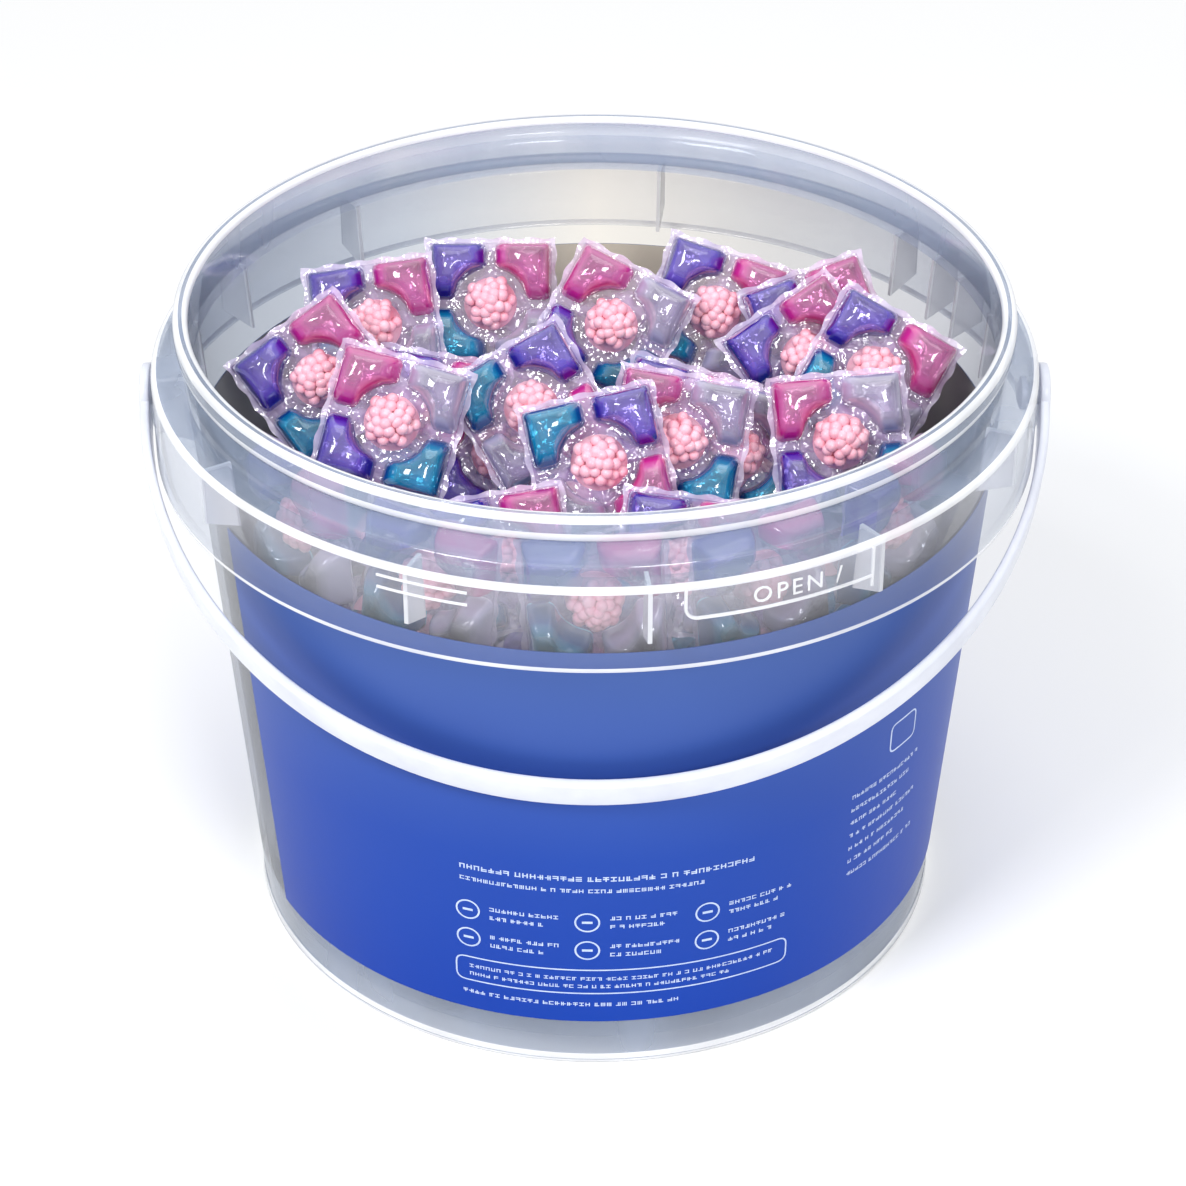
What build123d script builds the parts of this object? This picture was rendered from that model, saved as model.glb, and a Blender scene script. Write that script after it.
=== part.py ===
# Clear tub of laundry pods with a white carrying handle and a wrap-round film label.
# Millimetres. The origin is the middle of the footprint on the floor, +Z is up and the front is -Y.
import os
from math import cos, degrees, radians, sin, sqrt

from build123d import *

os.makedirs("parts", exist_ok=True)

# Tub
shelf_radius = 118.0
tub_height = 183.0
base_radius = 96.6
wall_thickness = 1.6
shelf_drop = 15.6
shelf_thickness = 1.5
skirt_height = 24.2
bead_height = 6.5
bead_overhang = 2.4
neck_inset = 9.2
foot_height = 3.2
foot_step = 0.7
floor_lift = 8.0

# Ribs behind the skirt, as bearings from the front, positive to the right
rib_bearings = (-141, -116, -98, -82, -58, -23, 6.5, 37, 68, 100, 112, 119, 128, 170)
rib_thickness = 1.1
rib_height = 20.5
rib_slant = 4.0

# Tear panel in the skirt
panel_start = 10.6
panel_end = 35.0
panel_height = 8.6
panel_relief = 0.4
slit_width = 0.8

# Handle
strap_width = 10.5
strap_thickness = 2.6
strap_chamfer = 0.6
eye_radius = 8.2
pin_radius = 3.0
pin_clearance = 0.08
head_radius = 4.6
head_thickness = 2.2
pivot_drop = 30.0
boss_radius = 9.5
boss_relief = 0.9
side_gap = 0.6
rest_gap = 0.6

# Label
label_thickness = 0.25
label_gap = 0.1
label_low = 15.8
label_top_gap = 1.2
label_start = -62.0
label_arc = 330.0

# Pods
pod_to_floor = 0.40
pod_to_mouth = 0.357
pod_depth_ratio = 0.303
film_thickness = 0.6
film_margin = 2.0
chamber_gap = 1.0
chamber_inner = 6.4
chamber_taper = 9.0
bead_pocket_radius = 10.8
pod_gap = 0.3
heap_drop = 33.0
heap_lean = 55.0
layer_count = 9

# Levels and radii that follow from the sizes above
shelf_z = tub_height - shelf_drop
skirt_z = shelf_z - skirt_height
neck_radius = shelf_radius - neck_inset
bead_radius = neck_radius + bead_overhang
bead_z = tub_height - bead_height
mouth_radius = neck_radius - wall_thickness
floor_z = floor_lift + wall_thickness
under_shelf_z = shelf_z - shelf_thickness
skirt_wall = wall_thickness - 0.1
skirt_inner = shelf_radius - skirt_wall
wall_slope = (neck_radius + 0.4 - base_radius) / shelf_z
pivot_z = tub_height - pivot_drop
boss_face = shelf_radius + boss_relief - 0.3
strap_inner = boss_face + side_gap
strap_outer = strap_inner + strap_thickness


def wall_radius(z):
    """Outer radius of the tapered wall at a height."""
    return base_radius + wall_slope * z


def bearing_plane(bearing):
    """Upright plane through the axis, its x pointing outward on a bearing."""
    turn = radians(bearing - 90)
    return Plane(origin=(0, 0, 0), x_dir=(cos(turn), sin(turn), 0), z_dir=(sin(turn), -cos(turn), 0))


# Tub: the whole section turned once round the axis
with BuildPart() as tub:
    with BuildSketch(Plane.XZ):
        with BuildLine():
            Polyline(
                (wall_radius(0) - wall_thickness - 1.2, 0),
                (wall_radius(0) + foot_step, 0),
                (wall_radius(0) + foot_step, foot_height),
                (wall_radius(foot_height + 0.6), foot_height + 0.6),
                (wall_radius(under_shelf_z), under_shelf_z),
                (skirt_inner, under_shelf_z),
                (skirt_inner, skirt_z),
                (shelf_radius, skirt_z),
                (shelf_radius, shelf_z),
                (neck_radius, shelf_z),
                (neck_radius, bead_z - 1.6),
                (bead_radius, bead_z + 0.8),
                (bead_radius, tub_height - 2.0),
                (bead_radius - 1.4, tub_height),
                (mouth_radius, tub_height),
                (mouth_radius, shelf_z),
                (wall_radius(floor_z) - wall_thickness, floor_z),
                (0, floor_z),
                (0, floor_lift),
                (wall_radius(0) - wall_thickness - 1.2, floor_lift),
                close=True,
            )
        make_face()
    revolve(axis=Axis.Z)
    # Ribs from the wall to the skirt, hanging from the shelf, with slanted lower edges
    for bearing in rib_bearings:
        with BuildSketch(bearing_plane(bearing)):
            with BuildLine():
                Polyline(
                    (wall_radius(shelf_z) - 0.6, under_shelf_z + 0.4),
                    (skirt_inner + 0.5, under_shelf_z + 0.4),
                    (skirt_inner + 0.5, shelf_z - rib_height + rib_slant),
                    (wall_radius(shelf_z - rib_height) - 0.6, shelf_z - rib_height),
                    close=True,
                )
            make_face()
        extrude(amount=rib_thickness / 2, both=True)
    # Tear panel, a little proud of the skirt, freed below and at one end by a slit
    panel_low = shelf_z - 0.9 - panel_height
    with BuildSketch(bearing_plane(panel_start)):
        with BuildLine():
            Polyline(
                (shelf_radius - 1.0, panel_low),
                (shelf_radius + panel_relief, panel_low),
                (shelf_radius + panel_relief, shelf_z - 1.1),
                (shelf_radius - 1.0, shelf_z - 0.7),
                close=True,
            )
        make_face()
    revolve(axis=Axis.Z, revolution_arc=panel_end - panel_start)
    slit_turn = degrees(slit_width / shelf_radius)
    with BuildSketch(bearing_plane(panel_start - slit_turn)):
        with Locations((shelf_radius - skirt_wall / 2, panel_low - slit_width / 2)):
            Rectangle(4 * skirt_wall, slit_width)
    revolve(axis=Axis.Z, revolution_arc=panel_end - panel_start, mode=Mode.SUBTRACT)
    with BuildSketch(bearing_plane(panel_start - slit_turn)):
        with Locations((shelf_radius, panel_low - slit_width)):
            Rectangle(2.9 * skirt_wall, panel_height, align=(Align.CENTER, Align.MIN))
    revolve(axis=Axis.Z, revolution_arc=slit_turn, mode=Mode.SUBTRACT)
    # Pivot bosses on both sides, each with a hole for the handle's pin
    for side in (1, -1):
        boss_plane = Plane(origin=(side * boss_face, 0, pivot_z), x_dir=(0, 1, 0), z_dir=(-side, 0, 0))
        with BuildSketch(boss_plane):
            Circle(boss_radius)
        extrude(amount=boss_relief + 0.8)
        with BuildSketch(boss_plane):
            Circle(pin_radius + pin_clearance)
        extrude(amount=boss_relief + 2 * skirt_wall, mode=Mode.SUBTRACT)
tub.part.label = "tub"
export_step(tub.part, "parts/tub.step")


# Handle: it hangs at the front, as far down as the labelled wall lets it
def strap_room(angle):
    """Distance from the strap's lower inner corner to the label, at the middle of the strap."""
    out = strap_inner * cos(radians(angle)) - strap_width / 2 * sin(radians(angle))
    z = pivot_z - strap_inner * sin(radians(angle)) - strap_width / 2 * cos(radians(angle))
    return out - wall_radius(z) - label_gap - label_thickness


hang = 5.0
while strap_room(hang + 0.5) > rest_gap and hang < 60:
    hang = hang + 0.5

with BuildPart() as handle:
    tilt = radians(hang)
    bail_plane = Plane(origin=(0, 0, pivot_z), x_dir=(1, 0, 0), z_dir=(0, -sin(tilt), cos(tilt)))
    with BuildSketch(bail_plane):
        Circle(strap_outer)
        Circle(strap_inner, mode=Mode.SUBTRACT)
        with Locations((0, -strap_outer)):
            Rectangle(4 * strap_outer, 2 * strap_outer, mode=Mode.INTERSECT)
    extrude(amount=strap_width / 2, both=True)
    outer_edges = handle.edges().filter_by(GeomType.CIRCLE).sort_by(SortBy.RADIUS)[-2:]
    chamfer(outer_edges, strap_chamfer)
    for side in (1, -1):
        eye_plane = Plane(origin=(side * strap_inner, 0, pivot_z), x_dir=(0, 1, 0), z_dir=(side, 0, 0))
        with BuildSketch(eye_plane):
            Circle(eye_radius)
        extrude(amount=strap_thickness)
        # Pin through the boss, then its retaining head in the gap behind the skirt
        pin_length = strap_inner - skirt_inner + side_gap
        with BuildSketch(eye_plane):
            Circle(pin_radius)
        extrude(amount=-pin_length - head_thickness)
        with BuildSketch(eye_plane.offset(-pin_length)):
            Circle(head_radius)
        extrude(amount=-head_thickness)
handle.part.label = "handle"
export_step(handle.part, "parts/handle.step")

# Label: a thin film following the taper, with a bare strip between its ends
label_high = skirt_z - label_top_gap
with BuildPart() as label:
    with BuildSketch(bearing_plane(label_start)):
        with BuildLine():
            Polyline(
                (wall_radius(label_low) + label_gap, label_low),
                (wall_radius(label_low) + label_gap + label_thickness, label_low),
                (wall_radius(label_high) + label_gap + label_thickness, label_high),
                (wall_radius(label_high) + label_gap, label_high),
                close=True,
            )
        make_face()
    revolve(axis=Axis.Z, revolution_arc=label_arc)
label.part.label = "label"
export_step(label.part, "parts/label.step")

# Pods: a square pouch with four corner chambers round a pocket of beads
floor_room = wall_radius(floor_z) - wall_thickness
pod_side = min(pod_to_floor * floor_room, pod_to_mouth * mouth_radius)
pod_depth = pod_depth_ratio * pod_side
chamber_depth = pod_depth - film_thickness
chamber_outer = pod_side / 2 - film_margin
row_pitch = pod_depth + pod_gap
heap_z = tub_height - heap_drop

# Upright pods against the front wall, as bearing and turn
wall_pods = ((-52, 4), (-26, -5), (0, 3), (26, 5), (52, -4))
wall_pod_z = skirt_z + 0.14 * pod_side
chamber_top = chamber_outer - chamber_depth * sin(radians(chamber_taper))
wall_room = min(wall_radius(wall_pod_z - 0.52 * pod_side) - wall_thickness, mouth_radius) - pod_gap
pod_planes = []
for number, (bearing, turn) in enumerate(wall_pods, 1):
    swing = radians(turn)
    half = chamber_top * (cos(swing) + abs(sin(swing)))
    reach = sqrt(wall_room**2 - half**2) - pod_depth
    outward = (sin(radians(bearing)), -cos(radians(bearing)), 0)
    sideways = (cos(radians(bearing)), sin(radians(bearing)), 0)
    spot = (reach * outward[0], reach * outward[1], wall_pod_z)
    across = (cos(swing) * sideways[0], cos(swing) * sideways[1], sin(swing))
    face = Plane(origin=spot, x_dir=across, z_dir=outward)
    pod_planes.append((f"wall_pod_{number:02d}", face))

# The leaning heap: row, position along the row and up the slope in pod sides, and turn in degrees.
# A row is one leaning plane of pods, and each row rests on the one behind it.
heap = (
    (-4, -0.78, -0.02, 0),
    (-4, 0.89, -0.08, 18),
    (-3, -1.62, 0.0, -8),
    (-3, 0.12, 0.0, -62),
    (-3, 1.66, -0.05, -20),
    (-2, -1.15, -0.50, 10),
    (-2, 1.55, -0.06, -34),
    (-1, -1.98, -0.02, -37),
    (-1, -0.69, -0.55, -85),
    (-1, 0.62, -0.40, 15),
    (-1, 2.00, 0.03, 30),
    (0, -0.45, -0.03, 60),
    (0, 1.00, -0.35, -85),
    (1, -1.42, 0.06, -75),
    (1, 0.58, -0.07, -80),
    (1, 1.72, -0.07, -95),
    (2, 0.03, -0.02, 77),
    (3, -0.62, -0.50, -10),
    (3, 0.62, -0.52, 8),
)
lean = radians(heap_lean)
heap_low = heap_z
for number, (row, along, up, turn) in enumerate(heap, 1):
    slide = up * pod_side
    spot = (
        along * pod_side,
        -row * row_pitch / sin(lean) + slide * cos(lean) + pod_depth / 2 * sin(lean),
        heap_z + slide * sin(lean) - pod_depth / 2 * cos(lean),
    )
    corner = pod_side / 2 * (abs(cos(radians(turn))) + abs(sin(radians(turn))))
    heap_low = min(heap_low, spot[2] - corner * sin(lean))
    across = (cos(radians(turn)), -sin(radians(turn)) * cos(lean), -sin(radians(turn)) * sin(lean))
    face = Plane(origin=spot, x_dir=across, z_dir=(0, -sin(lean), cos(lean)))
    pod_planes.append((f"heap_pod_{number:02d}", face))

# One pod, lying on its film, then a copy of it at each place
with BuildPart() as pod_form:
    with BuildSketch():
        Rectangle(pod_side, pod_side)
    extrude(amount=film_thickness)
    with BuildSketch(Plane.XY.offset(film_thickness)):
        for quarter in range(4):
            with BuildLine(Plane.XY.rotated((0, 0, 90 * quarter))):
                Polyline(
                    (chamber_inner, chamber_inner),
                    (chamber_outer, chamber_gap),
                    (chamber_outer, chamber_outer),
                    (chamber_gap, chamber_outer),
                    close=True,
                )
            make_face()
        RegularPolygon(bead_pocket_radius, 4)
    extrude(amount=chamber_depth, taper=chamber_taper)

for name, face in pod_planes:
    with BuildPart() as pod:
        with Locations(face.location):
            add(pod_form.part)
    pod.part.label = name
    export_step(pod.part, f"parts/{name}.step")

# Flat layers of pods that fill the tub up to the heap's lowest corner
layer_pitch = (heap_low - pod_gap - floor_z) / layer_count
grid = pod_side + 2 * pod_gap
for number in range(layer_count):
    level = floor_z + pod_gap + number * layer_pitch
    with BuildPart() as layer:
        with BuildSketch(Plane.XY.offset(level).rotated((0, 0, 30 * number))):
            with GridLocations(3 * grid, grid, 2, 2):
                Rectangle(pod_side, pod_side)
            with GridLocations(grid, 3 * grid, 2, 2):
                Rectangle(pod_side, pod_side)
            with GridLocations(grid, grid, 2, 2):
                Rectangle(pod_side, pod_side)
        extrude(amount=layer_pitch - pod_gap, taper=chamber_taper)
    layer.part.label = f"pod_layer_{number + 1}"
    export_step(layer.part, f"parts/pod_layer_{number + 1}.step")
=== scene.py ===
"""Looks of the laundry pod tub: clear tub, white strap handle, blue film label and a heap of pods."""

import math
import random

import bmesh
import bpy
import numpy as np
from mathutils import Matrix, Vector


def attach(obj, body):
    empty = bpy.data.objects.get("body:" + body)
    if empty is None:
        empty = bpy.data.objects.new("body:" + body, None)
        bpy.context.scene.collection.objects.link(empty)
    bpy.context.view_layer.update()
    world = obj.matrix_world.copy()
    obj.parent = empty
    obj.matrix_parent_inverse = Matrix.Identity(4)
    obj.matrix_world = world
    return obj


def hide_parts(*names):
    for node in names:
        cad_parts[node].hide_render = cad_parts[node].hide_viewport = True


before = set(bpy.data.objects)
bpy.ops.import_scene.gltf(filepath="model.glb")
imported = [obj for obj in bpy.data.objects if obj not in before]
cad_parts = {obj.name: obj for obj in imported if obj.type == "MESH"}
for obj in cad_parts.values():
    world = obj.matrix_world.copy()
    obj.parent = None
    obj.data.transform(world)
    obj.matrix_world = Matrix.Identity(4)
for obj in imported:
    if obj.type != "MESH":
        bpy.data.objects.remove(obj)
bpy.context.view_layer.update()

MM = 0.001
TUB = "tub_body"
HANDLE = "handle_body"

# Tub, in millimetres
shelf_radius = 118.0
tub_height = 183.0
base_radius = 96.6
wall_thickness = 1.6
shelf_z = 167.4
under_shelf_z = 165.9
skirt_z = 143.2
skirt_inner = 116.5
neck_radius = 108.8
bead_radius = 111.2
bead_z = 176.5
mouth_radius = 107.2
floor_lift = 8.0
floor_z = 9.6
foot_height = 3.2
foot_step = 0.7
milky_foot = 17.0
section_round = 1.5
side_reach = 112.0
front_band = (-70.0, -15.0)
corner_steps = 4
wall_slope = (neck_radius + 0.4 - base_radius) / shelf_z
rib_bearings = (-141, -116, -98, -82, -58, -23, 6.5, 37, 68, 100, 112, 119, 128, 170)
rib_thickness = 1.1
rib_height = 20.5
rib_slant = 4.0
panel_start = 10.6
panel_end = 35.0
panel_height = 8.6
panel_corner = 3.0
ridge_width = 0.9
ridge_lift = 0.38
panel_low = shelf_z - 0.9 - panel_height
boss_root = 116.8
boss_face = 118.6
boss_radius = 9.5

# Handle
pivot_z = 153.0
strap_inner = 119.2
strap_thickness = 2.6
strap_width = 10.5
eye_radius = 8.2
pin_radius = 3.0
head_radius = 4.6
head_thickness = 2.2
hang = math.radians(26.0)

# Label
label_low = 15.8
label_high = 142.0
label_start = -62.0
label_arc = 330.0
label_gap = 0.1
label_thickness = 0.25
print_lift = 0.04

# Pods
pod_side = 0.357 * mouth_radius
pod_depth = 0.303 * pod_side
film_thickness = 0.6
film_margin = 2.0
pod_gap = 0.3
chamber_middle = 11.4
chamber_gap = 1.1
chamber_floor = 0.45
chamber_headroom = 0.7
pocket_radius = 10.2
dome_radius = 7.6
dome_height = 6.4
bead_spread = 6.5
bead_least = 1.6
bead_most = 1.9
bead_rise = 7.6
bead_reach = 8.2
golden_angle = 2.39996
row_pitch = pod_depth + pod_gap
heap_z = tub_height - 33.0
heap_lean = math.radians(55.0)
layer_count = 9
gel_low = 0.4
gel_high = 11.2

# Heap pods: row, place along the row and up the slope in pod sides, turn in degrees
heap = (
    (-4, -0.78, -0.02, 0),
    (-4, 0.89, -0.08, 18),
    (-3, -1.62, 0.0, -8),
    (-3, 0.12, 0.0, -62),
    (-3, 1.66, -0.05, -20),
    (-2, -1.15, -0.50, 10),
    (-2, 1.55, -0.06, -34),
    (-1, -1.98, -0.02, -37),
    (-1, -0.69, -0.55, -85),
    (-1, 0.62, -0.40, 15),
    (-1, 2.00, 0.03, 30),
    (0, -0.45, -0.03, 60),
    (0, 1.00, -0.35, -85),
    (1, -1.42, 0.06, -75),
    (1, 0.58, -0.07, -80),
    (1, 1.72, -0.07, -95),
    (2, 0.03, -0.02, 77),
    (3, -0.62, -0.50, -10),
    (3, 0.62, -0.52, 8),
)

# Pods against the wall: bearing and turn in degrees
wall_pods = ((-52, 4), (-26, -5), (0, 3), (26, 5), (52, -4))


def wall_radius(z):
    """Outer radius of the tapered wall at a height, in millimetres."""
    return base_radius + wall_slope * z


def srgb(red, green, blue):
    """Screen colour, 0 to 255, as the linear colour that shaders take."""
    out = []
    for value in (red, green, blue):
        c = value / 255
        out.append(c / 12.92 if c <= 0.04045 else ((c + 0.055) / 1.055) ** 2.4)
    return (*out, 1.0)


def around(radius, bearing, z):
    """Point in metres from a radius, a bearing (zero in front, growing to the right) and a height."""
    turn = math.radians(bearing)
    return (radius * math.sin(turn) * MM, -radius * math.cos(turn) * MM, z * MM)


# Materials


def new_material(name):
    """Empty node material and its output node."""
    material = bpy.data.materials.new(name)
    material.use_nodes = True
    tree = material.node_tree
    tree.nodes.clear()
    return material, tree, tree.nodes.new("ShaderNodeOutputMaterial")


def object_axis(tree, axis, low, high):
    """Value from 0 to 1 along one axis of the object, between two places in millimetres."""
    place = tree.nodes.new("ShaderNodeTexCoord")
    split = tree.nodes.new("ShaderNodeSeparateXYZ")
    spread = tree.nodes.new("ShaderNodeMapRange")
    spread.inputs["From Min"].default_value = low * MM
    spread.inputs["From Max"].default_value = high * MM
    tree.links.new(place.outputs["Object"], split.inputs[0])
    tree.links.new(split.outputs[axis], spread.inputs["Value"])
    return spread.outputs[0]


def noise(tree, scale, detail=3.0, stretch=(1, 1, 1)):
    """Noise in object space, in lumps per metre, stretched along the axes."""
    place = tree.nodes.new("ShaderNodeTexCoord")
    mapping = tree.nodes.new("ShaderNodeMapping")
    mapping.inputs["Scale"].default_value = stretch
    texture = tree.nodes.new("ShaderNodeTexNoise")
    texture.inputs["Scale"].default_value = scale
    texture.inputs["Detail"].default_value = detail
    tree.links.new(place.outputs["Object"], mapping.inputs["Vector"])
    tree.links.new(mapping.outputs["Vector"], texture.inputs["Vector"])
    return texture.outputs["Fac"]


def bump(tree, source, strength, distance):
    """Small surface relief from a value."""
    node = tree.nodes.new("ShaderNodeBump")
    node.inputs["Strength"].default_value = strength
    node.inputs["Distance"].default_value = distance
    tree.links.new(source, node.inputs["Height"])
    return node.outputs[0]


def ramp(tree, source, stops):
    """Colour ramp over a value, given as (position, colour) stops."""
    node = tree.nodes.new("ShaderNodeValToRGB")
    elements = node.color_ramp.elements
    while len(elements) < len(stops):
        elements.new(0.5)
    for element, (position, colour) in zip(elements, stops):
        element.position = position
        element.color = colour
    tree.links.new(source, node.inputs["Fac"])
    return node.outputs["Color"]


def combine(tree, first, second, way="MULTIPLY"):
    """Product of two colours, or the lighter of the two."""
    mix = tree.nodes.new("ShaderNodeMix")
    mix.data_type = "RGBA"
    mix.blend_type = way
    mix.inputs["Factor"].default_value = 1.0
    tree.links.new(first, mix.inputs["A"])
    tree.links.new(second, mix.inputs["B"])
    return mix.outputs["Result"]


def blend(tree, factor, first, second):
    """Mix of two shaders by a value."""
    mix = tree.nodes.new("ShaderNodeMixShader")
    tree.links.new(factor, mix.inputs["Fac"])
    tree.links.new(first.outputs[0], mix.inputs[1])
    tree.links.new(second.outputs[0], mix.inputs[2])
    return mix


def grazing(tree, power, least, most):
    """Value that rises from face-on to grazing sight of a clear sheet, the same from both sides."""
    weight = tree.nodes.new("ShaderNodeLayerWeight")
    weight.inputs["Blend"].default_value = 0.5
    curve = tree.nodes.new("ShaderNodeMath")
    curve.operation = "POWER"
    curve.inputs[1].default_value = power
    spread = tree.nodes.new("ShaderNodeMapRange")
    spread.inputs["To Min"].default_value = least
    spread.inputs["To Max"].default_value = most
    tree.links.new(weight.outputs["Facing"], curve.inputs[0])
    tree.links.new(curve.outputs[0], spread.inputs["Value"])
    return spread.outputs[0]


def spread_out(tree, source, low, high, least, most):
    """Value between two limits stretched to run between two others."""
    spread = tree.nodes.new("ShaderNodeMapRange")
    spread.inputs["From Min"].default_value = low
    spread.inputs["From Max"].default_value = high
    spread.inputs["To Min"].default_value = least
    spread.inputs["To Max"].default_value = most
    tree.links.new(source, spread.inputs["Value"])
    return spread.outputs[0]


def clear_material(
    name, tints_and_side_shade, edge_tint, haze, haze_colour, gloss=(0.04, 0.7), scale=38.0, relief=0.05, rise=None
):
    """Clear plastic, darker and glossier at grazing sight, with a haze that is uneven or grows upwards,
    and a tint that changes from left to right as painted shade.
    """
    material, tree, out = new_material(name)
    face = tree.nodes.new("ShaderNodeBsdfTransparent")
    # The tint ramps from left to right across the object as painted shade: on the clear wall it is darkest
    # on the left, lightest and creamiest in the middle and greyer on the right. The front half is lifted
    # back to an even clear tint.
    stops = [(k / (len(tints_and_side_shade) - 1), (*tint, 1)) for k, tint in enumerate(tints_and_side_shade)]
    side_shade = ramp(tree, object_axis(tree, "X", -side_reach, side_reach), stops)
    front_stops = ((0.0, (0.975, 0.975, 0.98, 1)), (1.0, (0, 0, 0, 1)))
    front = ramp(tree, object_axis(tree, "Y", *front_band), front_stops)
    tree.links.new(combine(tree, side_shade, front, "LIGHTEN"), face.inputs["Color"])
    edge = tree.nodes.new("ShaderNodeBsdfTransparent")
    edge.inputs["Color"].default_value = (*edge_tint, 1)
    milk = tree.nodes.new("ShaderNodeBsdfDiffuse")
    milk.inputs["Color"].default_value = haze_colour
    shine = tree.nodes.new("ShaderNodeBsdfGlossy")
    shine.inputs["Roughness"].default_value = 0.06
    flow = noise(tree, scale, 2.0, (1, 1, 0.3))
    tree.links.new(bump(tree, flow, relief, 0.002), shine.inputs["Normal"])
    clear = blend(tree, grazing(tree, 1.6, 0.0, 1.0), face, edge)
    amount = spread_out(tree, flow, 0.3, 0.7, *haze)
    if rise is not None:
        amount = spread_out(tree, object_axis(tree, "Z", *rise), 0.0, 1.0, *haze)
    body = blend(tree, amount, clear, milk)
    skin = blend(tree, grazing(tree, 4.0, *gloss), body, shine)

    # Light that goes on to what lies behind takes one even tint
    passing = 1 - sum(haze) / 2
    shade = tree.nodes.new("ShaderNodeBsdfTransparent")
    shade.inputs["Color"].default_value = (*(sum(part) / len(tints_and_side_shade) * passing for part in zip(*tints_and_side_shade)), 1)
    path = tree.nodes.new("ShaderNodeLightPath")
    surface = blend(tree, path.outputs["Is Shadow Ray"], skin, shade)
    tree.links.new(surface.outputs[0], out.inputs["Surface"])
    return material


def solid_material(name, dark, light, roughness, scale, relief, coat=0.0):
    """Opaque finish whose colour drifts between two shades, with a fine relief."""
    material, tree, out = new_material(name)
    shader = tree.nodes.new("ShaderNodeBsdfPrincipled")
    shades = ramp(tree, noise(tree, scale, 4.0), ((0.32, dark), (0.68, light)))
    shader.inputs["Roughness"].default_value = roughness
    shader.inputs["Coat Weight"].default_value = coat
    shader.inputs["Coat Roughness"].default_value = 0.04
    tree.links.new(shades, shader.inputs["Base Color"])
    tree.links.new(bump(tree, noise(tree, scale * 6, 2.0), relief, 0.0006), shader.inputs["Normal"])
    tree.links.new(shader.outputs[0], out.inputs["Surface"])
    return material


def gel_material(name, deep, middle, pale, tint):
    """Liquid in a film chamber with painted shade and light by height: a deep colour round its foot, paler
    and clear where it bulges, a pale floor, and a wet shine.
    """
    material, tree, out = new_material(name)
    height = object_axis(tree, "Z", gel_low, gel_high)
    shader = tree.nodes.new("ShaderNodeBsdfPrincipled")
    # Painted shade and light by height: the floor is pale, the sides are deep and dark, and the colour
    # grows paler towards the top, standing in for light passing through the liquid.
    height_shade_stops = ((0.0, pale), (0.03, pale), (0.06, deep), (0.58, deep), (0.77, middle), (0.92, pale))
    height_shade = ramp(tree, height, height_shade_stops)
    drift = ramp(tree, noise(tree, 110.0), ((0.3, (0.82, 0.82, 0.86, 1)), (0.7, (1, 1, 1, 1))))
    shader.inputs["Roughness"].default_value = 0.1
    relief = bump(tree, noise(tree, 120.0, 1.0), 0.16, 0.0012)
    tree.links.new(combine(tree, height_shade, drift), shader.inputs["Base Color"])
    tree.links.new(relief, shader.inputs["Normal"])
    clear = tree.nodes.new("ShaderNodeBsdfTransparent")
    clear.inputs["Color"].default_value = (*tint, 1)
    openings = ((0.58, (0, 0, 0, 1)), (0.78, (0.45, 0.45, 0.45, 1)), (0.92, (0.85, 0.85, 0.85, 1)))
    see_through = ramp(tree, height, openings)
    shine = tree.nodes.new("ShaderNodeBsdfGlossy")
    shine.inputs["Roughness"].default_value = 0.03
    tree.links.new(relief, shine.inputs["Normal"])
    body = blend(tree, see_through, shader, clear)
    skin = blend(tree, grazing(tree, 2.5, 0.07, 0.5), body, shine)
    tree.links.new(skin.outputs[0], out.inputs["Surface"])
    return material


def label_material():
    """Printed blue film: dusty above, deeper below, with a soft cloudy drift."""
    material, tree, out = new_material("blue_film")
    shader = tree.nodes.new("ShaderNodeBsdfPrincipled")
    stops = (
        (0.0, srgb(14, 62, 164)),
        (0.45, srgb(34, 72, 164)),
        (0.8, srgb(64, 92, 164)),
        (1.0, srgb(74, 100, 162)),
    )
    shades = ramp(tree, object_axis(tree, "Z", label_low, label_high), stops)
    cloud = ramp(tree, noise(tree, 9.0, 2.0), ((0.3, (0.86, 0.88, 0.93, 1)), (0.7, (1.0, 1.0, 1.0, 1))))
    tree.links.new(combine(tree, shades, cloud), shader.inputs["Base Color"])
    tree.links.new(bump(tree, noise(tree, 420.0, 2.0), 0.04, 0.0004), shader.inputs["Normal"])
    shader.inputs["Roughness"].default_value = 0.36
    shader.inputs["Specular IOR Level"].default_value = 0.12
    tree.links.new(shader.outputs[0], out.inputs["Surface"])
    return material


pale_haze = srgb(242, 244, 248)
# Wall tints from left to right are painted shade: dark grey on the left, cream in the middle, greyer on
# the right.
clear_plastic = clear_material(
    "clear_plastic",
    ((0.68, 0.71, 0.76), (0.83, 0.85, 0.88), (0.975, 0.95, 0.905), (0.85, 0.84, 0.83), (0.84, 0.84, 0.86)),
    (0.72, 0.74, 0.78),
    (0.008, 0.03),
    pale_haze,
    gloss=(0.012, 0.6),
)
skirt_plastic = clear_material(
    "skirt_plastic",
    ((0.94, 0.95, 0.97), (0.98, 0.98, 0.985), (0.96, 0.965, 0.975)),
    (0.76, 0.79, 0.84),
    (0.02, 0.14),
    srgb(244, 244, 252),
    gloss=(0.012, 0.6),
    rise=(150.0, 166.0),
)
rim_plastic = clear_material(
    "rim_plastic",
    ((0.9, 0.915, 0.94), (0.95, 0.96, 0.975), (0.93, 0.94, 0.955)),
    (0.36, 0.4, 0.46),
    (0.24, 0.42),
    srgb(172, 187, 212),
    gloss=(0.06, 0.85),
)
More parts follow.
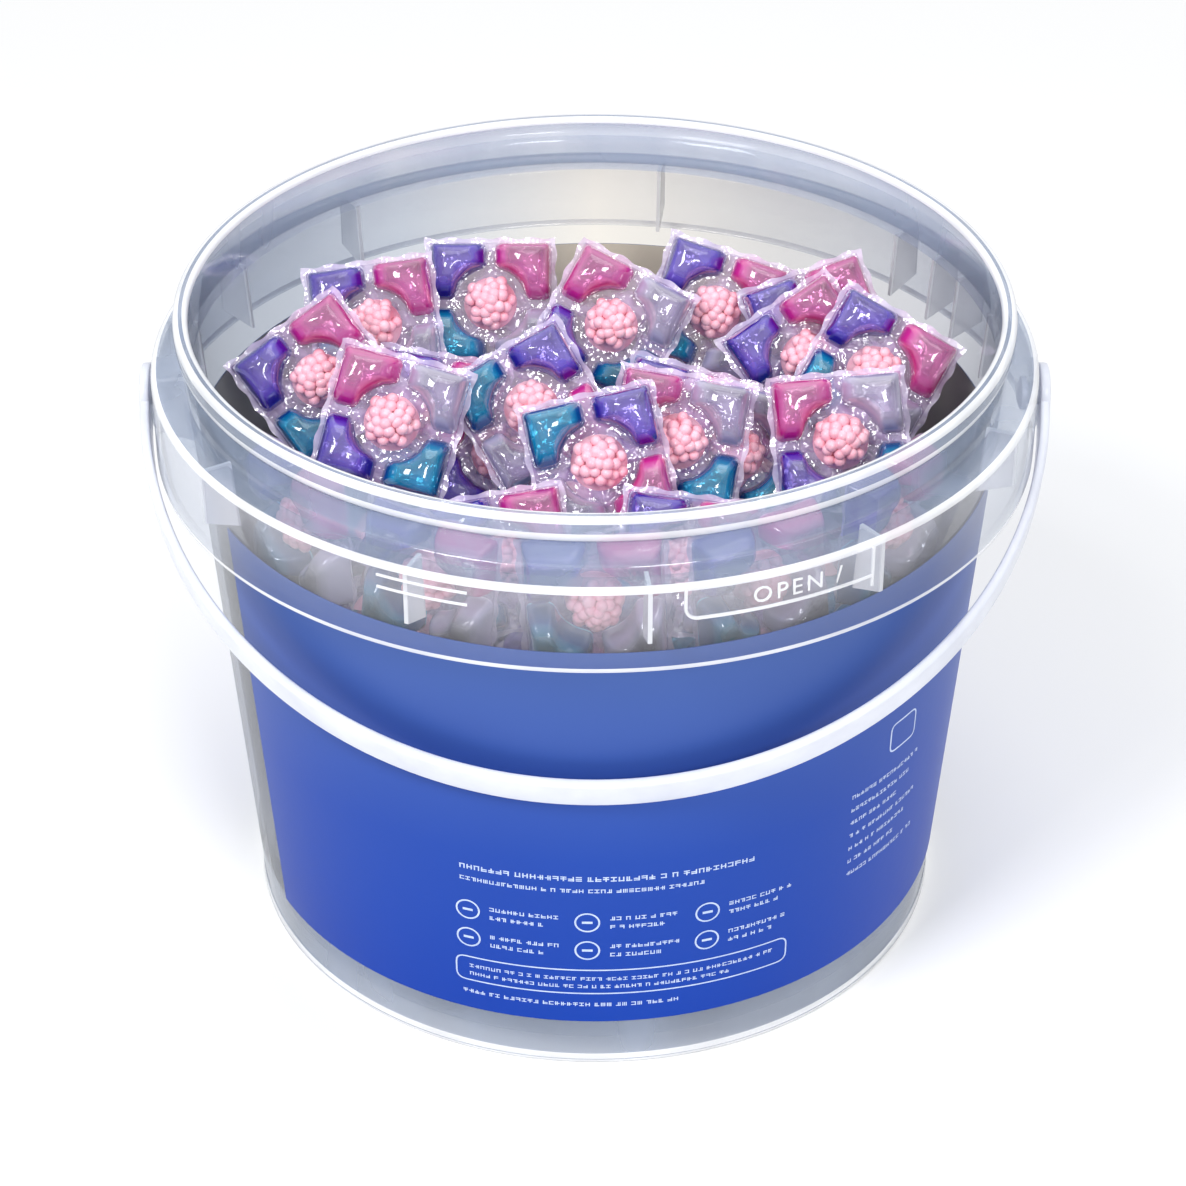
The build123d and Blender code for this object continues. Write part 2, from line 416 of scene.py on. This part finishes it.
# Milky white finish for moulded marks, ribs and ridges, and also for painted highlight lines on the tub's
# rounded edges.
moulded_mark_and_edge_highlight = clear_material(
    "moulded_mark_and_edge_highlight",
    ((0.97, 0.97, 0.98), (0.98, 0.98, 0.99)),
    (0.9, 0.91, 0.93),
    (0.55, 0.75),
    srgb(252, 253, 255),
)
pod_film = clear_material(
    "pod_film",
    ((0.97, 0.96, 0.98), (0.98, 0.97, 0.99)),
    (0.88, 0.86, 0.92),
    (0.24, 0.56),
    srgb(206, 180, 224),
    gloss=(0.1, 0.8),
    scale=190.0,
    relief=0.9,
)
film_edge = clear_material(
    "film_edge",
    ((0.98, 0.97, 0.99), (0.99, 0.98, 0.99)),
    (0.92, 0.9, 0.94),
    (0.45, 0.75),
    srgb(228, 214, 240),
    gloss=(0.12, 0.8),
    scale=190.0,
    relief=0.9,
)
white_plastic = solid_material(
    "white_plastic", srgb(212, 215, 226), srgb(228, 231, 240), 0.32, 60.0, 0.08, 0.15
)
blue_film = label_material()
label_back = solid_material("label_back", srgb(232, 226, 212), srgb(246, 240, 226), 0.5, 14.0, 0.03)
pale_print = solid_material("pale_print", srgb(176, 194, 230), srgb(198, 212, 240), 0.4, 300.0, 0.02)
purple_gel = gel_material(
    "purple_gel", srgb(52, 18, 156), srgb(112, 86, 218), srgb(176, 160, 246), (0.68, 0.62, 0.97)
)
pink_gel = gel_material(
    "pink_gel", srgb(214, 46, 146), srgb(248, 124, 196), srgb(255, 180, 224), (0.99, 0.62, 0.84)
)
teal_gel = gel_material(
    "teal_gel", srgb(0, 88, 152), srgb(0, 160, 210), srgb(110, 214, 242), (0.32, 0.78, 0.94)
)
clear_gel = gel_material(
    "clear_gel", srgb(190, 182, 212), srgb(206, 200, 222), srgb(226, 222, 238), (0.9, 0.88, 0.96)
)
pink_beads = solid_material("pink_beads", srgb(248, 168, 186), srgb(255, 202, 214), 0.4, 260.0, 0.2, 0.2)
pod_materials = (pod_film, pink_gel, purple_gel, teal_gel, clear_gel, pink_beads, film_edge)


# Mesh helpers


class Build:
    """Collects points, in metres, and faces with a material number each."""

    def __init__(self):
        self.points = []
        self.faces = []
        self.looks = []

    def shape(self, points, faces, look=0):
        """Ready points and faces."""
        start = len(self.points)
        self.points.extend(points)
        for face in faces:
            self.faces.append(tuple(start + i for i in face))
            self.looks.append(look)

    def grid(self, rows, look=0, close_columns=False):
        """Quads over rows of points, joined round where asked."""
        wide = len(rows[0])
        faces = []
        for i in range(len(rows) - 1):
            for j in range(wide if close_columns else wide - 1):
                after = (j + 1) % wide
                faces.append((i * wide + j, i * wide + after, (i + 1) * wide + after, (i + 1) * wide + j))
        self.shape([point for row in rows for point in row], faces, look)

    def fan(self, ring, middle, look=0):
        """Triangles from a closed ring of points to one point."""
        count = len(ring)
        self.shape(list(ring) + [middle], [(j, (j + 1) % count, count) for j in range(count)], look)

    def mesh(self, name, materials, sharp=40.0):
        """The collected faces as a smooth-shaded mesh, with edges over an angle left sharp."""
        mesh = bpy.data.meshes.new(name)
        mesh.from_pydata([tuple(point) for point in self.points], [], self.faces)
        for material in materials:
            mesh.materials.append(material)
        mesh.polygons.foreach_set("material_index", self.looks)
        work = bmesh.new()
        work.from_mesh(mesh)
        bmesh.ops.remove_doubles(work, verts=work.verts, dist=1e-6)
        bmesh.ops.recalc_face_normals(work, faces=work.faces)
        work.to_mesh(mesh)
        work.free()
        mesh.shade_smooth()
        mesh.set_sharp_from_angle(angle=math.radians(sharp))
        return mesh


def add_piece(name, mesh, body, nodes=(), place=None):
    """Puts a mesh in the scene: what it rides on and the nodes it stands for."""
    piece = bpy.data.objects.new(name, mesh)
    bpy.context.scene.collection.objects.link(piece)
    if place is not None:
        piece.matrix_world = place
    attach(piece, body)
    if nodes:
        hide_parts(*nodes)


def soften(corners, radius, steps=4):
    """Closed outline with every corner rounded by up to a radius."""
    out = []
    count = len(corners)
    for i, corner in enumerate(corners):
        p = np.array(corner, float)
        before = np.array(corners[i - 1], float) - p
        after = np.array(corners[(i + 1) % count], float) - p
        a = p + before * min(radius / np.linalg.norm(before), 0.45)
        b = p + after * min(radius / np.linalg.norm(after), 0.45)
        for k in range(steps + 1):
            t = k / steps
            out.append(tuple((1 - t) ** 2 * a + 2 * t * (1 - t) * p + t**2 * b))
    return out


def turned(profile, side, steps=48):
    """Rings of points about the handle's pivot line, from (radius, x) pairs, on one side."""
    angles = np.linspace(0, 2 * math.pi, steps, endpoint=False)
    rings = []
    for radius, x in profile:
        ring = [(side * x, radius * math.cos(t), pivot_z + radius * math.sin(t)) for t in angles]
        rings.append([tuple(value * MM for value in point) for point in ring])
    return rings


# Tub

# Finishes of the tub; the last one is for moulded marks and for painted highlight lines on rounded edges.
CLEAR, SKIRT, RIM, MARK_AND_HIGHLIGHT = range(4)


def tub_look(radius, z):
    """Which clear finish a place on the tub has."""
    on_foot = z < milky_foot and radius > wall_radius(z) - 0.1
    if z > shelf_z - 0.4 or on_foot:
        return RIM
    if radius > skirt_inner - 1.0:
        return SKIRT
    return CLEAR


def build_wall(build):
    """The tub's whole section, turned once round the axis."""
    inner_floor = wall_radius(floor_z) - wall_thickness
    floor_edge = wall_radius(0) - wall_thickness - 1.2
    section = soften(
        [
            (floor_edge, 0),
            (wall_radius(0) + foot_step, 0),
            (wall_radius(0) + foot_step, foot_height),
            (wall_radius(foot_height + 0.6), foot_height + 0.6),
            (wall_radius(milky_foot), milky_foot),
            (wall_radius(under_shelf_z), under_shelf_z),
            (skirt_inner, under_shelf_z),
            (skirt_inner, skirt_z),
            (shelf_radius, skirt_z),
            (shelf_radius, shelf_z),
            (neck_radius, shelf_z),
            (neck_radius, bead_z - 1.6),
            (bead_radius, bead_z + 0.8),
            (bead_radius, tub_height),
            (mouth_radius, tub_height),
            (mouth_radius, shelf_z),
            (inner_floor, floor_z),
        ],
        section_round,
        corner_steps,
    )
    section += [(inner_floor * 0.6, floor_z), (0.01, floor_z), (0.01, floor_lift)]
    section += [(floor_edge * 0.6, floor_lift), (floor_edge, floor_lift)]
    # Rounded corners at the foot, skirt hem, shelf, bead and mouth take the milky white mark finish:
    # painted highlight lines along these edges.
    highlight_corners = (1, 2, 8, 9, 12, 13, 14)
    turns = 240
    rows = [[around(radius, 360 * j / turns, z) for j in range(turns)] for radius, z in section]
    for k in range(len(rows)):
        after = (k + 1) % len(rows)
        middle = [(a + b) / 2 for a, b in zip(section[k], section[after])]
        corner, step = divmod(k, corner_steps + 1)
        look = MARK_AND_HIGHLIGHT if corner in highlight_corners and step < corner_steps else tub_look(*middle)
        build.grid([rows[k], rows[after]], look, close_columns=True)


def build_ribs(build):
    """Thin plates between the wall and the skirt, hanging from the shelf."""
    outline = [
        (wall_radius(shelf_z) - 0.6, under_shelf_z + 0.4),
        (skirt_inner + 0.5, under_shelf_z + 0.4),
        (skirt_inner + 0.5, shelf_z - rib_height + rib_slant),
        (wall_radius(shelf_z - rib_height) - 0.6, shelf_z - rib_height),
    ]
    half = math.degrees(rib_thickness / 2 / skirt_inner)
    faces = [(3, 2, 1, 0), (4, 5, 6, 7), (0, 1, 5, 4), (1, 2, 6, 5), (2, 3, 7, 6), (3, 0, 4, 7)]
    for bearing in rib_bearings:
        points = [around(r, bearing + turn, z) for turn in (-half, half) for r, z in outline]
        build.shape(points, faces, MARK_AND_HIGHLIGHT)


def skirt_ribbon(build, path, width, thick):
    """Raised line on the skirt along a path of (bearing, z) points."""
    places = [np.array((math.radians(b) * shelf_radius, z)) for b, z in path]
    rows = []
    for k, place in enumerate(places):
        along = places[min(k + 1, len(places) - 1)] - places[max(k - 1, 0)]
        across = np.array((-along[1], along[0])) / np.linalg.norm(along) * width / 2
        row = []
        for offset, lift in ((-1, -0.1), (-0.7, thick), (0.7, thick), (1, -0.1)):
            s, z = place + across * offset
            row.append(around(shelf_radius + lift, math.degrees(s / shelf_radius), z))
        rows.append(row)
    build.grid(rows, MARK_AND_HIGHLIGHT)


def build_panel(build):
    """Tear panel: a raised field with a ridge round its free end and lower edge."""
    low = panel_low + 0.4
    high = shelf_z - 1.1
    face = shelf_radius + 0.35
    edge = ((shelf_radius - 0.2, low), (face, low + 0.3), (face, high - 0.3), (shelf_radius - 0.2, high))
    bearings = np.linspace(panel_start, panel_end, 30)
    build.grid([[around(radius, bearing, z) for radius, z in edge] for bearing in bearings], SKIRT)
    corner = math.degrees(panel_corner / shelf_radius)
    path = [(panel_start, high), (panel_start, panel_low + panel_corner)]
    for k in range(1, 7):
        t = math.pi / 2 * k / 6
        drop = panel_corner * (1 - math.sin(t))
        path.append((panel_start + corner * (1 - math.cos(t)), panel_low + drop))
    path += [(bearing, panel_low) for bearing in np.linspace(panel_start + corner * 1.3, panel_end, 24)]
    skirt_ribbon(build, path, ridge_width, ridge_lift)
    end = [(panel_end, high), (panel_end, panel_low - panel_corner)]
    skirt_ribbon(build, end, ridge_width, ridge_lift)


def build_bars(build):
    """Two short raised bars under the shelf, left of the front."""
    for drop in (3.4, 6.8):
        path = [(bearing, shelf_z - drop) for bearing in np.linspace(-26.5, -15.0, 12)]
        skirt_ribbon(build, path, 0.7, 0.3)


def build_bosses(build):
    """Round bosses that carry the handle's pins."""
    profile = (
        (boss_radius, boss_root),
        (boss_radius, boss_face - 0.3),
        (boss_radius - 0.4, boss_face),
        (pin_radius + 0.4, boss_face),
        (pin_radius + 0.1, boss_root),
    )
    for side in (1, -1):
        build.grid(turned(profile, side), SKIRT, close_columns=True)


tub_build = Build()
build_wall(tub_build)
build_ribs(tub_build)
build_panel(tub_build)
build_bars(tub_build)
build_bosses(tub_build)
tub_mesh = tub_build.mesh("tub_shell", (clear_plastic, skirt_plastic, rim_plastic, moulded_mark_and_edge_highlight), 30.0)
add_piece("tub_shell", tub_mesh, TUB, ["tub"])


def marking(name, words, size, bearing, z, thick):
    """Raised generic letters bent round the skirt's panel."""
    curve = bpy.data.curves.new(name, "FONT")
    curve.body = words
    curve.size = size * MM
    curve.extrude = thick / 2 * MM
    curve.align_x = "CENTER"
    curve.align_y = "CENTER"
    curve.space_character = 1.25
    curve.resolution_u = 3
    holder = bpy.data.objects.new(name, curve)
    bpy.context.scene.collection.objects.link(holder)
    bpy.context.view_layer.update()
    mesh = bpy.data.meshes.new_from_object(holder)
    bpy.data.objects.remove(holder)
    for vertex in mesh.vertices:
        x, y, depth = (value / MM for value in vertex.co)
        radius = shelf_radius + 0.4 + depth
        vertex.co = around(radius, bearing + math.degrees(x / radius), z + y)
    mesh.name = name
    mesh.materials.clear()
    mesh.materials.append(moulded_mark_and_edge_highlight)
    return mesh


open_mesh = marking("open_mark", "OPEN /", 6.4, 24.5, panel_low + panel_height / 2 - 0.4, 0.3)
add_piece("open_mark", open_mesh, TUB)


# Handle


def build_handle():
    """White strap bent to a half circle, with an eye plate and a headed pin at each end."""
    build = Build()
    half = strap_width / 2
    thick = strap_thickness / 2
    section = soften([(-thick, -half), (thick, -half), (thick, half), (-thick, half)], 1.0)
    along = Vector((0, -math.cos(hang), -math.sin(hang)))
    across = Vector((0, -math.sin(hang), math.cos(hang)))
    right = Vector((1, 0, 0))
    pivot = Vector((0, 0, pivot_z))
    rows = []
    steps = 120
    for k in range(steps + 1):
        t = math.pi * k / steps
        out = right * math.cos(t) + along * math.sin(t)
        rows.append([(pivot + out * (strap_inner + thick + a) + across * b) * MM for a, b in section])
    build.grid(rows, 0, close_columns=True)
    outer = strap_inner + strap_thickness
    head = skirt_inner - 0.6
    profile = (
        (0.01, outer),
        (eye_radius - 0.8, outer),
        (eye_radius - 0.2, outer - 0.25),
        (eye_radius, outer - 0.9),
        (eye_radius, strap_inner + 0.4),
        (eye_radius - 0.4, strap_inner),
        (pin_radius, strap_inner),
        (pin_radius, head),
        (head_radius, head),
        (head_radius, head - head_thickness * 0.6),
        (pin_radius * 0.8, head - head_thickness),
        (0.01, head - head_thickness),
    )
    for side in (1, -1):
        build.grid(turned(profile, side), 0, close_columns=True)
    return build.mesh("handle_strap", [white_plastic], 50.0)


add_piece("handle_strap", build_handle(), HANDLE, ["handle"])


# Label


def on_label(along, z, lift=0.0):
    """Point on the label's face: distance along it from the front and height, in millimetres."""
    radius = wall_radius(z) + label_gap + label_thickness + lift
    return around(radius, math.degrees(along / radius), z)


def build_label():
    """Thin printed film following the taper, with a pale back."""
    build = Build()
    columns, lines = 220, 36
    sheets = []
    for offset in (label_gap + label_thickness, label_gap):
        sheet = []
        for i in range(lines + 1):
            z = label_low + (label_high - label_low) * i / lines
            bearings = (label_start + label_arc * j / columns for j in range(columns + 1))
            sheet.append([around(wall_radius(z) + offset, bearing, z) for bearing in bearings])
        sheets.append(sheet)
    outer, inner = sheets
    build.grid(outer, 0)
    build.grid(inner, 1)
    for edge in (0, lines):
        build.grid([outer[edge], inner[edge]], 0)
    for edge in (0, columns):
        build.grid([[row[edge] for row in outer], [row[edge] for row in inner]], 0)
    return build.mesh("label_film", [blue_film, label_back], 50.0)


add_piece("label_film", build_label(), TUB, ["label"])


def print_bar(build, left, right, low, high):
    """Flat printed bar."""
    count = max(1, int((right - left) / 2))
    places = [left + (right - left) * j / count for j in range(count + 1)]
    build.grid([[on_label(place, z, print_lift) for place in places] for z in (low, high)])


def print_loop(build, outline, width):
    """Printed outline: a closed loop of (along, z) points, drawn with a width in short steps."""
    rings = [[], []]
    for start, end in zip(outline, outline[1:] + outline[:1]):
        start = np.array(start)
        along = np.array(end) - start
        length = np.linalg.norm(along)
        inward = np.array((-along[1], along[0])) / length * width
        count = max(1, int(length / 2))
        for k in range(count + 1):
            place = start + along * k / count
            rings[0].append(on_label(*place, print_lift))
            rings[1].append(on_label(*(place + inward), print_lift))
    build.grid(rings, 0, close_columns=True)


def print_line(build, left, right, z, size, draws):
    """Line of greeked print: small square marks of three strokes each, with a wider gap now and then."""
    thin = 0.22 * size
    at = left
    while at < right - size:
        strokes = [(at, at + size, z + size * k - thin, z + size * k) for k in (0.25, 0.6, 1.0)]
        strokes += [(at + size * k, at + size * k + thin, z, z + size) for k in (0.05, 0.4, 0.75)]
        for stroke in draws.sample(strokes, 3):
            print_bar(build, *stroke)
        at += size * draws.choice((1.25, 1.25, 1.25, 1.9))


def build_print():
    """Generic pale print: greeked lines, plain rings and rounded boxes."""
    build = Build()
    draws = random.Random(11)
    circle = np.linspace(0, 2 * math.pi, 28, endpoint=False)
    ring_radius = 3.4
    for along in (-34, -2, 30):
        for z in (42, 52):
            ring = [(along + ring_radius * math.cos(t), z + ring_radius * math.sin(t)) for t in circle]
            print_loop(build, ring, 0.5)
            print_bar(build, along - 1.4, along + 1.4, z - 0.4, z + 0.4)
            print_line(build, along + 6, along + 25, z + 0.8, 1.3, draws)
            print_line(build, along + 6, along + 21, z - 2.2, 1.3, draws)
    print_line(build, -36, 44, 66.5, 1.6, draws)
    print_line(build, -36, 30, 62.5, 1.3, draws)
    print_loop(build, soften([(-38, 26), (54, 26), (54, 35), (-38, 35)], 3.0, 5), 0.45)
    print_line(build, -34, 50, 31.0, 1.2, draws)
    print_line(build, -34, 38, 28.2, 1.2, draws)
    print_line(build, -36, 24, 21.5, 1.3, draws)
    for k in range(7):
        print_line(build, 74, 104 - 5 * (k % 3), 74 - 4.6 * k, 1.3, draws)
    print_loop(build, soften([(88, 82), (100, 82), (100, 92), (88, 92)], 2.5, 5), 0.55)
    return build.mesh("label_print", [pale_print], 50.0)


add_piece("label_print", build_print(), TUB)


# Pods


def chamber_reach(angles, outer):
    """Distance from a chamber's middle to its edge at each angle, with slightly softened corners."""
    raw = []
    for angle in angles:
        reach = 1e9
        directions = (math.cos(angle), math.sin(angle))
        for d in directions:
            if d > 1e-6:
                reach = min(reach, (outer - chamber_middle) / d)
            elif d < -1e-6:
                reach = min(reach, (chamber_gap - chamber_middle) / d)
        lean = chamber_middle * sum(directions)
        room = lean**2 - (2 * chamber_middle**2 - pocket_radius**2)
        if lean < 0 and room > 0:
            reach = min(reach, -lean - math.sqrt(room))
        raw.append(reach)
    raw = np.array(raw)
    spread = max(1, len(raw) // 34)
    soft = sum(np.roll(raw, k) for k in range(-spread, spread + 1)) / (2 * spread + 1)
    return np.minimum(raw, soft)


def ball(detail):
    """Points and faces of a unit ball."""
    work = bmesh.new()
    bmesh.ops.create_icosphere(work, subdivisions=detail, radius=1.0)
    points = [vertex.co.copy() for vertex in work.verts]
    faces = [[vertex.index for vertex in face.verts] for face in work.faces]
    work.free()
    return points, faces


bead_points, bead_faces = ball(2)


def build_film(build, put, draws, cells):
    """Square film sheet with creases and a ragged, curling edge."""
    half = pod_side / 2
    waves = [(draws.uniform(0.2, 0.6), draws.uniform(0, 6.3), draws.uniform(0, 6.3)) for _ in range(4)]
    rows = []
    for i in range(cells + 1):
        row = []
        for j in range(cells + 1):
            x = (2 * j / cells - 1) * half
            y = (2 * i / cells - 1) * half
            edge = max(0.0, max(abs(x), abs(y)) / half - 0.86)
            crease = sum(math.sin(f * x + a) * math.cos(f * y + b) for f, a, b in waves) / 4
            curl = 4.5 + 4.0 * math.sin(0.5 * x + waves[2][1]) * math.cos(0.5 * y)
            z = 0.6 + 0.4 * crease + edge * curl
            rag_x = 0.35 * math.sin(0.8 * y + waves[0][1]) * (j in (0, cells))
            rag_y = 0.35 * math.sin(0.8 * x + waves[1][1]) * (i in (0, cells))
            row.append(put(x * 0.98 + rag_x, y * 0.98 + rag_y, max(0.1, z)))
        rows.append(row)
    build.grid([row[1:-1] for row in rows[1:-1]], 0)
    for pair in (rows[:2], rows[-2:]):
        build.grid(pair, 6)
    for columns in (slice(0, 2), slice(-2, None)):
        build.grid([row[columns] for row in rows[1:-1]], 6)


def build_chamber(build, put, draws, quarter, count, lines):
    """Puffed corner chamber of liquid, hollowed round the bead pocket."""
    angles = np.linspace(0, 2 * math.pi, count, endpoint=False)
    reach = chamber_reach(angles, pod_side / 2 - film_margin + 0.2)
    turn = math.pi / 2 * quarter
    top = (pod_depth - chamber_headroom) * draws.uniform(0.9, 1.0)
    sway = draws.uniform(-0.06, 0.06)

    def place(x, y, z):
        return put(x * math.cos(turn) - y * math.sin(turn), x * math.sin(turn) + y * math.cos(turn), z)

    rows = []
    for i in range(1, lines + 1):
        t = math.sin(math.pi / 2 * i / lines)
        row = []
        for angle, length in zip(angles, reach):
            dent = 1 + sway * math.sin(2 * angle) * t
            z = chamber_floor + top * dent * max(0.0, 1 - t**3.0) ** 0.6
            x = chamber_middle + t * length * math.cos(angle)
            y = chamber_middle + t * length * math.sin(angle)
            row.append(place(x, y, min(z, pod_depth - 0.2)))
        rows.append(row)
    build.grid(rows, 1 + quarter, close_columns=True)
    build.fan(rows[0], place(chamber_middle, chamber_middle, chamber_floor + top), 1 + quarter)
    build.fan(rows[-1], place(chamber_middle, chamber_middle, 0.35), 1 + quarter)


def build_beads(build, put, draws, count, detail):
    """Pocket of beads: a low dome with balls set over it."""
    spots = np.linspace(0, 2 * math.pi, detail, endpoint=False)
    dome = []
    for i in range(6):
        r = dome_radius * (i + 0.02) / 5.02
        z = 0.4 + dome_height * max(0.0, 1 - (r / dome_radius) ** 2.4)
        dome.append([put(r * math.cos(t), r * math.sin(t), z) for t in spots])
    build.grid(dome, 5, close_columns=True)
    for k in range(count):
        r = bead_spread * math.sqrt((k + 0.3) / count)
        a = golden_angle * k + draws.uniform(-0.15, 0.15)
        size = draws.uniform(bead_least, bead_most)
        x = r * math.cos(a) + draws.uniform(-0.25, 0.25)
        y = r * math.sin(a) + draws.uniform(-0.25, 0.25)
        z = 0.5 + bead_rise * max(0.0, 1 - (r / bead_reach) ** 2.4) + draws.uniform(-0.3, 0.3)
        points = [put(x + p.x * size, y + p.y * size, max(0.1, z + p.z * size)) for p in bead_points]
        build.shape(points, bead_faces, 5)


# Fineness of a pod: film cells, points round and rings up a chamber, beads, points round their dome
FINE = (30, 64, 9, 25, 24)
COARSE = (8, 16, 4, 0, 12)


def build_pod(build, seed, fineness, place=None):
    """One pod lying on its film: square sheet, four corner chambers and a pocket of beads."""
    cells, chamber_points, chamber_rings, beads, dome_points = fineness
    draws = random.Random(seed)
    matrix = place or Matrix.Identity(4)

    def put(x, y, z):
        return tuple(matrix @ Vector((x * MM, y * MM, z * MM)))

    build_film(build, put, draws, cells)
    for quarter in range(4):
        build_chamber(build, put, draws, quarter, chamber_points, chamber_rings)
    build_beads(build, put, draws, beads, dome_points)


def plane_matrix(spot, across, out):
    """Placement from an origin in millimetres, an x direction and a z direction."""
    x = Vector(across).normalized()
    z = Vector(out).normalized()
    matrix = Matrix((x, z.cross(x), z)).transposed().to_4x4()
    matrix.translation = Vector(spot) * MM
    return matrix


pod_meshes = []
for seed in range(6):
    pod_build = Build()
    build_pod(pod_build, 100 + seed, FINE)
    pod_meshes.append(pod_build.mesh(f"pod_form_{seed}", pod_materials, 60.0))

places = []
sin_lean = math.sin(heap_lean)
cos_lean = math.cos(heap_lean)
heap_low = heap_z
for number, (row, along, up, turn) in enumerate(heap, 1):
    slide = up * pod_side
    spot = (
        along * pod_side,
        -row * row_pitch / sin_lean + slide * cos_lean + pod_depth / 2 * sin_lean,
        heap_z + slide * sin_lean - pod_depth / 2 * cos_lean,
    )
    spin = math.radians(turn)
    corner = pod_side / 2 * (abs(math.cos(spin)) + abs(math.sin(spin)))
    heap_low = min(heap_low, spot[2] - corner * sin_lean)
    across = (math.cos(spin), -math.sin(spin) * cos_lean, -math.sin(spin) * sin_lean)
    places.append((f"heap_pod_{number:02d}", plane_matrix(spot, across, (0, -sin_lean, cos_lean))))

chamber_top = pod_side / 2 - film_margin - (pod_depth - film_thickness) * math.sin(math.radians(9.0))
wall_pod_z = skirt_z + 0.14 * pod_side
wall_room = min(wall_radius(wall_pod_z - 0.52 * pod_side) - wall_thickness, mouth_radius) - pod_gap
for number, (bearing, turn) in enumerate(wall_pods, 1):
    spin = math.radians(turn)
    half_width = chamber_top * (math.cos(spin) + abs(math.sin(spin)))
    reach = math.sqrt(wall_room**2 - half_width**2) - pod_depth
    facing = math.radians(bearing)
    out = Vector((math.sin(facing), -math.cos(facing), 0))
    side = Vector((math.cos(facing), math.sin(facing), 0))
    spot = out * reach + Vector((0, 0, wall_pod_z))
    across = side * math.cos(spin) + Vector((0, 0, math.sin(spin)))
    places.append((f"wall_pod_{number:02d}", plane_matrix(spot, across, out)))

for index, (node, matrix) in enumerate(places):
    add_piece(f"{node}_gel", pod_meshes[index % len(pod_meshes)], TUB, [node], matrix)

layer_pitch = (heap_low - pod_gap - floor_z) / layer_count
pod_pitch = pod_side + 2 * pod_gap
columns = (-1.5, -0.5, 0.5, 1.5)
spots = [(x * pod_pitch, y * pod_pitch) for x in columns for y in columns if abs(x) + abs(y) < 2.9]
layer_draws = random.Random(5)
for number in range(layer_count):
    layer_build = Build()
    level = floor_z + pod_gap + number * layer_pitch
    turn = Matrix.Rotation(math.radians(30 * number), 4, "Z")
    flat = Matrix.Diagonal((1, 1, (layer_pitch - pod_gap) / pod_depth, 1))
    for x, y in spots:
        quarter = Matrix.Rotation(math.pi / 2 * layer_draws.randrange(4), 4, "Z")
        place = turn @ Matrix.Translation((x * MM, y * MM, level * MM)) @ quarter @ flat
        build_pod(layer_build, layer_draws.randrange(10000), COARSE, place)
    name = f"pod_layer_{number + 1}"
    add_piece(f"{name}_gel", layer_build.mesh(f"{name}_gel", pod_materials, 60.0), TUB, [name])


# Stage: pale floor that fades to white, soft light and a raised view from the front

floor_near = 0.35
floor_far = 0.9
floor_material, floor_tree, floor_out = new_material("stage_floor")
floor_shader = floor_tree.nodes.new("ShaderNodeBsdfDiffuse")
floor_shader.inputs["Color"].default_value = (0.94, 0.94, 0.94, 1)
floor_clear = floor_tree.nodes.new("ShaderNodeBsdfTransparent")
floor_place = floor_tree.nodes.new("ShaderNodeTexCoord")
floor_reach = floor_tree.nodes.new("ShaderNodeVectorMath")
floor_reach.operation = "LENGTH"
floor_fade = floor_tree.nodes.new("ShaderNodeMapRange")
floor_fade.inputs["From Min"].default_value = floor_near
floor_fade.inputs["From Max"].default_value = floor_far
floor_tree.links.new(floor_place.outputs["Object"], floor_reach.inputs[0])
floor_tree.links.new(floor_reach.outputs["Value"], floor_fade.inputs["Value"])
floor_surface = blend(floor_tree, floor_fade.outputs[0], floor_shader, floor_clear)
floor_tree.links.new(floor_surface.outputs[0], floor_out.inputs["Surface"])
floor_build = Build()
floor_build.grid([[(-1, -1, 0), (1, -1, 0)], [(-1, 1, 0), (1, 1, 0)]])
floor = bpy.data.objects.new("stage_floor", floor_build.mesh("stage_floor", [floor_material]))
bpy.context.scene.collection.objects.link(floor)

world = bpy.data.worlds.new("studio")
bpy.context.scene.world = world
world.use_nodes = True
sky = world.node_tree
room = sky.nodes["Background"]
room.inputs["Color"].default_value = (0.95, 0.97, 1.0, 1)
room.inputs["Strength"].default_value = 0.56
backdrop = sky.nodes.new("ShaderNodeBackground")
backdrop.inputs["Color"].default_value = (1, 1, 1, 1)
backdrop.inputs["Strength"].default_value = 1.0
sight = sky.nodes.new("ShaderNodeLightPath")
visible = sight.outputs["Is Camera Ray"]
for kind in ("Is Glossy Ray", "Is Transmission Ray"):
    either = sky.nodes.new("ShaderNodeMath")
    either.operation = "MAXIMUM"
    sky.links.new(visible, either.inputs[0])
    sky.links.new(sight.outputs[kind], either.inputs[1])
    visible = either.outputs[0]
seen = blend(sky, visible, room, backdrop)
sky.links.new(seen.outputs[0], sky.nodes["World Output"].inputs["Surface"])


def add_light(name, power, size, spot, target):
    """Soft square light aimed at a point."""
    light = bpy.data.lights.new(name, "AREA")
    light.energy = power
    light.size = size
    holder = bpy.data.objects.new(name, light)
    holder.location = spot
    holder.rotation_euler = (Vector(target) - Vector(spot)).to_track_quat("-Z", "Y").to_euler()
    bpy.context.scene.collection.objects.link(holder)


add_light("key", 10.0, 0.4, (-0.6, -0.7, 1.05), (0, 0, 0.12))
add_light("top", 5.0, 0.9, (0.3, 0.1, 1.4), (0, 0, 0.1))
add_light("front", 7.5, 0.36, (0.38, -1.16, 0.92), (0, 0, 0.12))
add_light("back", 2.5, 1.2, (0, 1.1, 1.6), (0, 0.3, 0))

camera_data = bpy.data.cameras.new("camera")
camera_data.lens = 100.0
camera_data.sensor_width = 36.0
camera_data.shift_x = -0.0016
camera = bpy.data.objects.new("camera", camera_data)
camera.location = (0, -0.7686, 0.5998)
look_at = Vector((0, 0, 0.0882))
camera.rotation_euler = (look_at - camera.location).to_track_quat("-Z", "Y").to_euler()
bpy.context.scene.collection.objects.link(camera)
bpy.context.scene.camera = camera
bpy.context.scene.view_settings.view_transform = "Standard"
